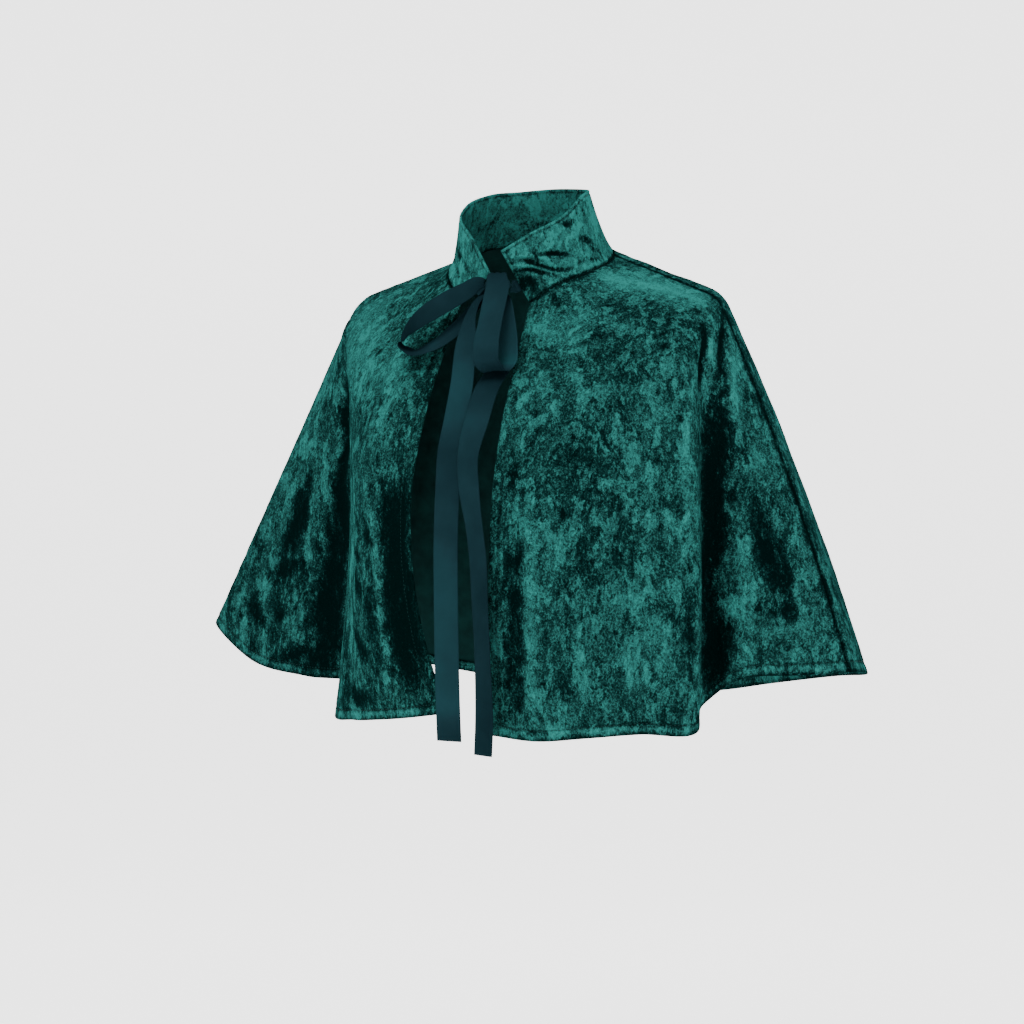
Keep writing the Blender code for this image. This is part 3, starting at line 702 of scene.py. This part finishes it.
def stitched_line(cloth, grid, first_open, last_open):
    """What a grid holds along the line HEM_BAND in from a panel's turned edges."""
    low, last_low = (nearest_index(row, HEM_BAND) for row in (cloth.from_hem[0], cloth.from_hem[-1]))
    left = nearest_index(cloth.from_first[:, EDGE_ROW], HEM_BAND) if first_open else 0
    right = nearest_index(cloth.from_last[:, EDGE_ROW], HEM_BAND) if last_open else len(grid) - 1
    parts = [grid[left : right + 1, low]]
    if first_open:
        parts.insert(0, grid[left, STITCHES_FROM_NECK:low])
    if last_open:
        parts.append(grid[right, last_low - 1 : STITCHES_FROM_NECK : -1])
    return np.concatenate(parts)


def link(material, source, target):
    material.node_tree.links.new(source, target)


def add_node(material, kind, *places, operation=None, **names):
    """A shader node. Its inputs, by place or by name, are linked to sockets or set to values."""
    node = material.node_tree.nodes.new("ShaderNode" + kind)
    if operation:
        node.operation = operation
    for name, value in (*enumerate(places), *names.items()):
        if isinstance(value, bpy.types.NodeSocket):
            link(material, value, node.inputs[name])
        else:
            node.inputs[name].default_value = value
    return node


def new_material(name, colour, **sockets):
    material = bpy.data.materials.new(name)
    material.use_nodes = True
    shader = material.node_tree.nodes["Principled BSDF"]
    shader.inputs["Base Color"].default_value = (*colour, 1.0)
    for socket, value in sockets.items():
        shader.inputs[socket.replace("_", " ")].default_value = value
    return material, shader


def coordinates(material, stretch=(1, 1, 1), swirl=None):
    """Object coordinates, stretched. A swirl, by scale and reach, is a soft noise that pushes them
    about."""
    at = add_node(material, "TexCoord").outputs["Object"]
    if swirl:
        scale, reach = swirl
        push = add_node(material, "TexNoise", Vector=at, Scale=scale, Detail=1.0).outputs["Color"]
        pushed = add_node(material, "VectorMath", push, (reach,) * 3, at, operation="MULTIPLY_ADD")
        at = pushed.outputs["Vector"]
    return add_node(material, "Mapping", Vector=at, Scale=stretch).outputs["Vector"]


def noise(material, at, scale, detail, roughness, distortion=0.0):
    node = add_node(
        material, "TexNoise", Vector=at, Scale=scale, Detail=detail, Roughness=roughness,
        Distortion=distortion,
    )
    return node.outputs["Fac"]


def tone_of(material):
    node = add_node(material, "Attribute")
    node.attribute_name = "tone"
    return node.outputs["Fac"]


def sum_of(material, terms, start=0.0):
    """Adds sockets, each times its weight, to a number."""
    total = start
    for socket, weight in terms:
        node = add_node(material, "Math", socket, weight, total, operation="MULTIPLY_ADD")
        total = node.outputs[0]
    return total


def ramp(material, factor, stops):
    node = add_node(material, "ValToRGB", Fac=factor)
    elements = node.color_ramp.elements
    while len(elements) < len(stops):
        elements.new(0.5)
    for element, (place, colour) in zip(elements, stops):
        element.position = place
        element.color = (*colour, 1.0)
    return node.outputs["Color"]


def levels(material, factor, stops):
    """A grey ramp, that turns soft noise into patches with clear edges."""
    return ramp(material, factor, [(place, (level,) * 3) for place, level in stops])


def bump(material, shader, height, strength, distance):
    node = add_node(material, "Bump", Strength=strength, Distance=distance, Height=height)
    link(material, node.outputs["Normal"], shader.inputs["Normal"])


# How light the pile is, from crushed flat away from the eye to standing towards it
PILE_STOPS = (
    (0.16, (0.0004, 0.0040, 0.0038)),
    (0.24, (0.0007, 0.0058, 0.0055)),
    (0.34, (0.0012, 0.0098, 0.0092)),
    (0.43, (0.0024, 0.0162, 0.0152)),
    (0.50, (0.0050, 0.0282, 0.0256)),
    (0.57, (0.0080, 0.0442, 0.0402)),
    (0.64, (0.0112, 0.0624, 0.0562)),
    (0.72, (0.0120, 0.0800, 0.0716)),
    (0.85, (0.0142, 0.1100, 0.0975)),
    (1.00, (0.0170, 0.1440, 0.1270)),
)
PILE_MIDDLE = 0.5
# The crush is noise cut off at a height, its shore, which leaves islands above it, or lakes below
# it, with clear ragged edges: each has a scale, a detail, a roughness, the shore, whether it is
# above it, and how much lighter the pile is there
CRUSH_LAYERS = (
    ("patches", 68, 5, 0.58, 0.545, True, 0.18),
    ("flakes", 125, 4, 0.58, 0.530, True, 0.11),
    ("chips", 270, 2, 0.50, 0.570, True, 0.12),
    ("hollows", 75, 5, 0.60, 0.420, False, -0.10),
    ("pits", 80, 3, 0.60, 0.340, False, -0.18),
)
CRUSH_MEAN = 0.175
SHORE_HALF_WIDTH = 0.003
DRIFTS, DRIFT_WEIGHT = (30, 1, 0.6), 0.15
GRAIN = (600, 1, 1.0, 0.6)
CRUSH_SWIRL, CRUSH_STRETCH, GRAIN_STRETCH = (30, 0.012), (1, 1, 0.55), (1, 1, 0.8)
RELIEF_LEVELS = ((0.40, 0.0), (0.60, 1.0))


def velvet_look(name, contrast=1.0, lighter=0.0, grained=1.0):
    """Crushed pile: soft drifts, the crush with its relief, a fine grain and the tone, which holds the
    pile's lay together with painted shade and painted highlights.
    """
    material, shader = new_material(
        name, (0.004, 0.033, 0.030), Roughness=0.7, Specular_IOR_Level=0.0, Sheen_Weight=0.012,
        Sheen_Roughness=0.35, Sheen_Tint=(0.10, 0.80, 0.75, 1.0),
    )
    swirled = coordinates(material, CRUSH_STRETCH, CRUSH_SWIRL)
    terms = [(noise(material, swirled, *DRIFTS), DRIFT_WEIGHT * contrast)]
    heights = {}
    for layer, scale, detail, roughness, shore, above, weight in CRUSH_LAYERS:
        heights[layer] = noise(material, swirled, scale, detail, roughness)
        stops = ((shore - SHORE_HALF_WIDTH, float(not above)), (shore + SHORE_HALF_WIDTH, float(above)))
        terms.append((levels(material, heights[layer], stops), weight * contrast))
    grain = noise(material, coordinates(material, GRAIN_STRETCH), *GRAIN)
    # The tone attribute brings in painted shade and painted highlights along with the pile's lay.
    terms += [(grain, grained), (tone_of(material), 1.0)]
    # What the crush and the grain add on average is taken off again
    pile = sum_of(material, terms, PILE_MIDDLE + lighter - CRUSH_MEAN * contrast - grained / 2)
    link(material, ramp(material, pile, PILE_STOPS), shader.inputs["Base Color"])
    rises = levels(material, heights["patches"], RELIEF_LEVELS)
    bump(material, shader, sum_of(material, ((rises, 1.0), (grain, 1.0))), 1.0, 0.001)
    return material


def backing_look():
    """The wrong side of the velvet: a fine matt knit."""
    material, shader = new_material(
        "velvet backing", (0.002, 0.016, 0.015), Roughness=0.9, Specular_IOR_Level=0.05
    )
    at = coordinates(material)
    knit = add_node(material, "TexWave", Vector=at, Scale=320, Distortion=1.5)
    mottle = noise(material, at, 60, 4, 0.6)
    colour = ramp(material, mottle, ((0.3, (0.0012, 0.0100, 0.0094)), (0.7, (0.0024, 0.0200, 0.0185))))
    link(material, colour, shader.inputs["Base Color"])
    bump(material, shader, knit.outputs["Fac"], 0.4, 0.0004)
    return material


SATIN_STOPS = (
    (0.0, (0.0010, 0.0042, 0.0056)), (0.3, (0.0034, 0.0108, 0.0140)), (0.5, (0.0058, 0.0180, 0.0228)),
    (0.7, (0.0076, 0.0290, 0.0350)), (1.0, (0.0090, 0.0560, 0.0600)),
)


def satin_look():
    """Dark teal satin ribbon: a close weave with a soft sheen painted into its colour, from cloudy
    patches and each strip's painted sheen and painted shade.
    """
    material, shader = new_material(
        "satin ribbon", (0.005, 0.022, 0.028), Roughness=0.42, Specular_IOR_Level=0.0,
        Sheen_Weight=0.004, Sheen_Roughness=0.4, Sheen_Tint=(0.35, 0.75, 0.85, 1.0),
    )
    at = coordinates(material)
    weave = noise(material, at, 2600, 2, 0.5)
    cloudy = noise(material, at, 45, 3, 0.5)
    # Painted sheen: cloudy patches plus each strip's tone of painted sheen and painted shade.
    painted_sheen_and_shade = sum_of(material, ((cloudy, 0.2), (tone_of(material), 1.0)), 0.4)
    link(material, ramp(material, painted_sheen_and_shade, SATIN_STOPS), shader.inputs["Base Color"])
    bump(material, shader, weave, 0.15, 0.0002)
    return material


def thread_look():
    material, shader = new_material(
        "sewing thread", (0.003, 0.024, 0.022), Roughness=0.6, Specular_IOR_Level=0.1
    )
    bump(material, shader, noise(material, coordinates(material), 3000, 2, 0.5), 0.3, 0.0002)
    return material


# Ribbon, as the frame's solids have it. A strip's rows are places on its middle line, with the
# turn and the dip of its width direction there, and its width, or STRIP_USUAL's where they are left
# out. Where it comes from the knot or goes to it, the place is an angle round the knot and a rise.
# A tie has such a place, and the turns round the collar and the share of the collar's height where
# it lies.
KNOT_CENTRE = (16.0, -92.0, -31.0)
KNOT_HALF_SIZE = (13.0, 8.0, 8.5)
STRIP_USUAL = (0, 0, 25)
# Each strip's first list is painted sheen and painted shade along it, row by row, in hundredths.
STRIPS = {
    "bow_loop_left": {
        "painted_sheen_and_shade": (-20, -25, -12, -2, 2, 2, 0, -10, -28, 30, 14, 6, 8, -25),
        "from_knot": (175, 58, 0, 0, 12),
        "rows": (
            (17, -91.5, -20.3, 0, 0, 15), (19.5, -100, -22.5, 0, 0, 19), (22.5, -104, -32, 0, 0, 24),
            (23.8, -112, -48), (24.4, -121, -67.5), (25.9, -130, -86.7, 8), (28.8, -133, -102, 8),
            (33, -126, -109.3, 5), (35.5, -114, -103), (33, -107, -86), (29.7, -104, -67, 0, 0, 24),
            (26, -101, -49, 0, 0, 20),
        ),
        "to_knot": (45, -60, 0, 0, 12),
    },
    "bow_loop_right": {
        "painted_sheen_and_shade": (-25, -15, -12, -12, -18, -38, -35, -10, 6, -8, -20, -25),
        "from_knot": (-62, 10, -40, -42, 11),
        "rows": (
            (-3, -96, -30, -32, -45, 16), (-15.6, -100, -37, -27, -38, 22), (-36.9, -106, -48.5, -27, -35),
            (-56.2, -110, -60.3, -35, -32), (-70.7, -113, -74, -55, -25), (-74.5, -114, -83.2, -60, -22),
            (-65.8, -113, -90.8, -60, -15), (-45, -108, -86, -52, -20), (-27, -103, -74, -46, -26),
            (-12, -97, -58, -42, -32, 20),
        ),
        "to_knot": (-95, -25, -40, -40, 7),
    },
    "ribbon_tail_left": {
        "painted_sheen_and_shade": (-20, -20, -10, -3, 14, 8, -14, -8, 0, 14, 10, 14, -14),
        "from_knot": (-32, -50, -30, 0, 10),
        "rows": (
            (3.5, -102.5, -43, -32, 0, 13), (-1.5, -110.5, -58, -30, 0, 19), (-3, -115, -76, -18, 0, 24),
            (-1.8, -127, -123, -4), (-0.3, -140, -155), (-1, -149, -182, 2), (0.3, -155, -214, 2),
            (0.7, -159, -263, 2), (1.5, -160, -317, 2), (2.2, -160, -366, 2), (3.6, -160, -415, 2),
            (4.9, -160, -445, 2),
        ),
        "to_knot": None,
    },
    "ribbon_tail_right": {
        "painted_sheen_and_shade": (-25, -25, -20, -20, -25, -16, 6, -5, -1, -4, -6, -13, -10, -14, -10),
        "from_knot": (165, -66, 0, 0, 10),
        "rows": (
            (17.5, -90, -47, 0, 0, 16), (21, -94, -62, 0, 0, 23), (25, -100, -82), (28, -109, -105),
            (25.5, -127, -125, 3), (23, -142, -155, 3), (20.7, -154, -190, -12), (25.9, -160, -217, -14),
            (32.7, -163, -249, -22), (37.6, -165, -276, -22), (40.3, -166, -314, -24),
            (43.4, -167, -359, -26), (45.5, -167, -432, -20), (44.5, -167, -455, -20),
        ),
        "to_knot": None,
    },
}
STRIP_STEPS = 14
STRIP_ACROSS = 14
RIBBON_GAP = 0.8
SATIN_SIDE = -0.08
CUP = 0.35
STRIP_WAVES = (0.15, 22)
PLEATS, PLEAT_START, PLEAT_REACH = 2.5, 0.6, 16
PLEAT, TIE_PLEAT = 0.5, 0.4
SELVEDGE = (0.12, 0.7)
EDGE_THINNING, EDGE_WIDTH = 0.6, 0.4
KNOT_COLUMN_COUNT, KNOT_ROW_COUNT = 96, 47
KNOT_SHARE, KNOT_POLE_SHARE = 0.97, 0.96
KNOT_FOLD, KNOT_FOLD_WAY = 0.035, (12.8, 0.0, 2.0)
KNOT_MARKS = (0.03, 0.6)
TIE_WIDTH = 11.0
TIE_FREE = 3.0
TIES = (("tie_left", 100, -8, (27, 30, 33.5), 0.34), ("tie_right", -150, 0, (333, 329, 325), 0.42))


def on_knot(turn, rise, across):
    """A point just off the knot and a width direction laid flat against it."""
    way, size = direction(turn, rise), np.array(KNOT_HALF_SIZE)
    normal = unit(way / size)
    return np.array(KNOT_CENTRE) + way * size + normal * RIBBON_GAP, across - normal * (across @ normal)


def across_way(turn, dip):
    """A ribbon's width direction, turned and dipped by degrees from +X."""
    return direction(turn + 90, dip)


def ribbon(node, middle, across, width, look, held, gathered=(), painted_sheen_and_shade=(0,)):
    """A length of ribbon along a smooth middle line. gathered is how deep its folds are where the
    knot draws its start and its end together. The last argument is how much lighter or darker it is
    painted at each row, in hundredths: painted sheen and painted shade."""
    middle, across, width = np.array(middle), np.array(across), np.array(width, float)
    knots = run_along(middle)
    steps = np.arange((len(knots) - 1) * STRIP_STEPS + 1) / STRIP_STEPS
    places = np.interp(steps, np.arange(len(knots)), knots)
    line, way = cubic(knots, middle, places), cubic(knots, across, places)
    wide = cubic(knots, width, places)
    along = unit(np.gradient(line, axis=0))
    way[1:-1] -= (along * (way * along).sum(axis=1)[:, None])[1:-1]
    way = unit(way)
    face = unit(np.cross(along, way))[:, None]
    sides = np.linspace(-0.5, 0.5, STRIP_ACROSS + 1)
    points = line[:, None] + way[:, None] * (wide[:, None, None] * sides[None, :, None])
    bulge = CUP * np.cos(sides * np.pi)[None, :] + noise_marks(points, STRIP_WAVES, 5)
    folds = np.cos(sides * 2 * np.pi * PLEATS + PLEAT_START)[None, :]
    for depth, distance in zip(gathered, (places, places[-1] - places)):
        bulge += mark(distance, depth, PLEAT_REACH)[:, None] * folds
    edge = np.minimum(sides + 0.5, 0.5 - sides)[None, :] * wide[:, None]
    half = RIBBON_THICKNESS / 2 * (1 - EDGE_THINNING * np.clip(1 - edge / EDGE_WIDTH, 0, 1))
    half += mark(edge, *SELVEDGE)
    centre = points + face * bulge[..., None]
    # Painted sheen and painted shade along the ribbon, row by row.
    row_painted_shading = np.interp(steps / steps[-1], np.linspace(0, 1, len(painted_sheen_and_shade)), painted_sheen_and_shade) / 100
    tone = row_painted_shading[:, None] + SATIN_SIDE * sides[None, :]
    outer, inner = (centre + way_out * face * half[..., None] for way_out in (1, -1))
    strip = closed_sheet("satin_" + node, outer, inner, (look,), 0, tone)
    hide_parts(node)
    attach(strip, "root")


def tie_strip(name, strip, look):
    """A loop, which starts and ends at the knot, or a tail, which only starts there."""
    rows = []
    for row in strip["rows"]:
        *place, turn, dip, width = (*row, *STRIP_USUAL[len(row) - 3 :])
        rows.append((place, across_way(turn, dip), width))
    for at, end in ((0, strip["from_knot"]), (len(rows) + 1, strip["to_knot"])):
        if end:
            angle, rise, turn, dip, width = end
            rows.insert(at, (*on_knot(angle, rise, across_way(turn, dip)), width))
    held, gathered = ("folded", (PLEAT, PLEAT)) if strip["to_knot"] else ("hung", (PLEAT,))
    ribbon(name, *zip(*rows), look, held, gathered, strip["painted_sheen_and_shade"])


def tie_end(name, angle, rise, turns, up, collar, look):
    """The bit of ribbon from the knot to its sewn end inside the collar."""
    inward = COLLAR_THICKNESS + 2 * TIE_GAP + RIBBON_THICKNESS
    laid, ways = [], []
    for turn in turns:
        column = nearest_index(collar.turns, turn)
        place = nearest_index(collar.down[column], up * collar.down[column, -1])
        laid.append(collar.points[column, place] - collar.normals[column, place] * inward)
        ways.append(unit(collar.points[column, place + 2] - collar.points[column, place - 2]))
    start, way = on_knot(angle, rise, np.array((0.0, 0.0, 1.0)))
    free = laid[0] + unit(laid[0] - laid[1]) * TIE_FREE
    middle = (start, (start + free) / 2, free, *laid[1:])
    width = [TIE_WIDTH] * len(middle)
    ribbon(name, middle, (way, way, *ways), width, look, "gathered", (TIE_PLEAT,))


def wind_knot(look):
    """The knot: the ribbon wound tight, so its surface runs in soft folds round it."""
    count, rows = KNOT_COLUMN_COUNT, KNOT_ROW_COUNT
    turn = np.linspace(0, 2 * np.pi, count, endpoint=False)
    rise = np.linspace(-np.pi / 2, np.pi / 2, rows + 2)[1:-1]
    turns, rises = np.meshgrid(turn, rise, indexing="ij")
    way = np.stack((np.cos(turns) * np.cos(rises), np.sin(turns) * np.cos(rises), np.sin(rises)), axis=-1)
    folds = KNOT_FOLD * np.cos(way @ np.array(KNOT_FOLD_WAY)) + noise_marks(way, KNOT_MARKS, 3)
    points = np.array(KNOT_CENTRE) + way * np.array(KNOT_HALF_SIZE) * (KNOT_SHARE + folds)[..., None]
    pole = np.array((0.0, 0.0, KNOT_HALF_SIZE[2] * KNOT_POLE_SHARE))
    poles = [np.array(KNOT_CENTRE) - pole, np.array(KNOT_CENTRE) + pole]
    index = np.arange(count * rows).reshape(count, rows)
    ahead = np.roll(index, -1, axis=0)
    faces = quads(index[:, :-1], ahead[:, :-1], ahead[:, 1:], index[:, 1:])
    for near, far in zip(index.tolist(), ahead.tolist()):
        faces += [(near[0], index.size, far[0]), (far[-1], index.size + 1, near[-1])]
    knot = add_object("satin_knot", np.concatenate((points.reshape(-1, 3), poles)) * MM, faces, (look,))
    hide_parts("bow_knot")
    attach(knot, "root")


# Stage, in metres
AZIMUTH, ELEVATION, DISTANCE = 30.0, 2.0, 2.6
TARGET = (-0.01223, -0.01682, -0.24209)
LENS, SENSOR = 96.22, 36.0
FLOOR_Z = -0.95
FLOOR_FRONT, FLOOR_BACK, FLOOR_HALF_WIDTH = -6.0, 1.6, 6.0
BEND_RADIUS, BEND_STEPS, BACKDROP_HEIGHT = 1.2, 12, 5.0
WORLD_LIGHT = 0.8
# Each light by its azimuth, elevation, distance, size and watts
LIGHTS = (("key", 10, 55, 2.2, 1.0, 50), ("fill", 80, 15, 2.4, 1.4, 14), ("back", 195, 50, 2.2, 1.2, 14))


def make_stage():
    """A pale floor that curves up into a backdrop."""
    profile = [(FLOOR_FRONT, 0.0), (FLOOR_BACK, 0.0)]
    for a in np.linspace(0, math.pi / 2, BEND_STEPS + 1)[1:]:
        profile.append((FLOOR_BACK + BEND_RADIUS * math.sin(a), BEND_RADIUS * (1 - math.cos(a))))
    profile.append((FLOOR_BACK + BEND_RADIUS, BACKDROP_HEIGHT))
    away, side = -direction(AZIMUTH, 0), direction(AZIMUTH + 90, 0)
    points = [
        away * reach + side * across + (0, 0, FLOOR_Z + height)
        for reach, height in profile for across in (-FLOOR_HALF_WIDTH, FLOOR_HALF_WIDTH)
    ]
    faces = [(2 * i, 2 * i + 1, 2 * i + 3, 2 * i + 2) for i in range(len(profile) - 1)]
    material, _ = new_material(
        "pale floor", (0.86, 0.86, 0.86), Roughness=0.9, Emission_Color=(1.0, 1.0, 1.0, 1.0),
        Emission_Strength=1.6,
    )
    add_object("floor", points, faces, (material,))


def aim(name, data, azimuth, elevation, distance):
    """An object that looks at the capelet from a side, a height and a distance."""
    obj = bpy.data.objects.new(name, data)
    obj.location = np.array(TARGET) + direction(azimuth, elevation) * distance
    obj.rotation_mode = "QUATERNION"
    obj.rotation_quaternion = (Vector(TARGET) - Vector(obj.location)).to_track_quat("-Z", "Y")
    bpy.context.scene.collection.objects.link(obj)
    return obj


def make_camera():
    data = bpy.data.cameras.new("camera")
    data.lens, data.sensor_width = LENS, SENSOR
    bpy.context.scene.camera = aim("camera", data, AZIMUTH, ELEVATION, DISTANCE)


def light_scene():
    world = bpy.data.worlds.new("studio")
    world.use_nodes = True
    background = world.node_tree.nodes["Background"]
    background.inputs["Color"].default_value = (1.0, 1.0, 1.0, 1.0)
    background.inputs["Strength"].default_value = WORLD_LIGHT
    bpy.context.scene.world = world
    for name, azimuth, elevation, distance, size, watts in LIGHTS:
        data = bpy.data.lights.new(name, "AREA")
        data.shape, data.size, data.energy = "DISK", size, watts
        aim(name, data, azimuth, elevation, distance)


def main():
    looks = {
        "velvet": velvet_look("crushed velvet", 1.0, 0.02),
        # The collar's velvet is painted lighter all over, a painted highlight for the light that falls on
        # it from above; it also has more contrast and less grain.
        "collar": velvet_look("collar velvet", 1.15, 0.26, 0.9),
        "backing": backing_look(),
        "satin": satin_look(),
        "thread": thread_look(),
    }
    panels = (
        ("velvet_front_left", "front_left", 0, LEFT_SEAM, FRONT_LEFT_CREASES, 11),
        ("velvet_back", "back", LEFT_SEAM, RIGHT_SEAM, BACK_CREASES, 31),
        ("velvet_front_right", "front_right", RIGHT_SEAM, len(FALLS) - 1, FRONT_RIGHT_CREASES, 51),
    )
    for name, node, first, last, creases, seed in panels:
        cloth, outer, sheet = sew_panel(name, node, first, last, creases, seed, looks)
        line, normals = (
            stitched_line(cloth, grid, first == 0, last == len(FALLS) - 1)
            for grid in (outer, cloth.normals)
        )
        sewn = stitches("stitches_" + node, line, normals, looks["thread"])
    collar, outer, sheet = sew_collar(looks)
    row = nearest_index(collar.from_hem[len(outer) // 4], COLLAR_BAND)
    sewn_part = slice(STITCHES_FROM_END, -STITCHES_FROM_END)
    line, normals = outer[sewn_part, row], collar.normals[sewn_part, row]
    sewn = stitches("stitches_collar", line, normals, looks["thread"])
    for name, strip in STRIPS.items():
        tie_strip(name, strip, looks["satin"])
    for row in TIES:
        tie_end(*row, collar, looks["satin"])
    wind_knot(looks["satin"])
    make_stage()
    make_camera()
    light_scene()


main()
